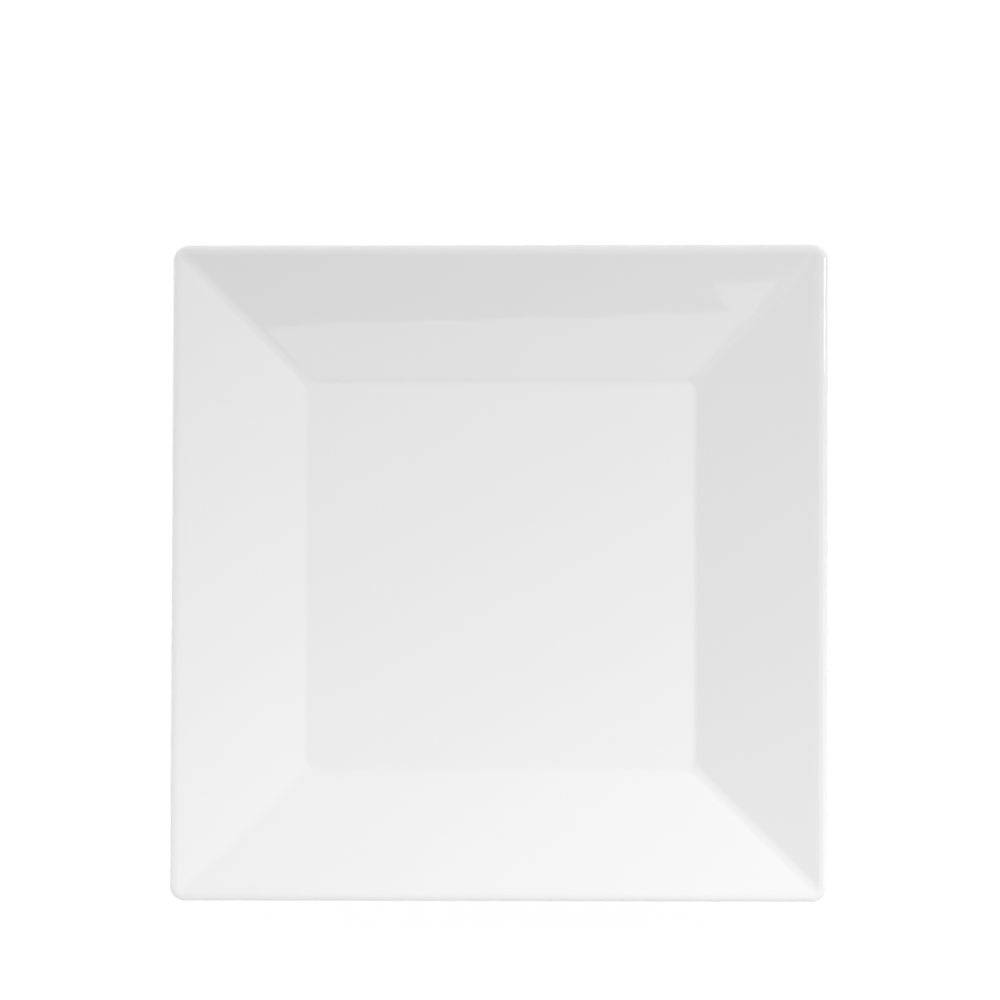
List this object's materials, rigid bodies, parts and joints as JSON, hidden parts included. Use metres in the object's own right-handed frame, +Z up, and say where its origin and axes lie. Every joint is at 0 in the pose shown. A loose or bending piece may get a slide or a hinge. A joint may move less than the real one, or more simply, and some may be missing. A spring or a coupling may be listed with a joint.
{
  "type": "square plate",
  "caption": "Square glazed porcelain plate with a flat well, broad sloping walls that meet in mitres, a rolled rim and a bare foot ring, for serving food and for stacking.",
  "frame": {"origin": "on the table, under the middle of the plate", "axes": "+Z up out of the well, +X and +Y square to the plate's sides; in the picture +X is to the right and +Y is up the picture"},
  "size_m": [0.254, 0.254, 0.028],
  "materials": {
    "bare_porcelain": "matte",
    "white_glaze": "polished"
  },
  "bodies": {
    "root": {"porcelain_body": "bare_porcelain", "main_glaze": "white_glaze", "base_glaze": "white_glaze"}
  },
  "joints": []
}
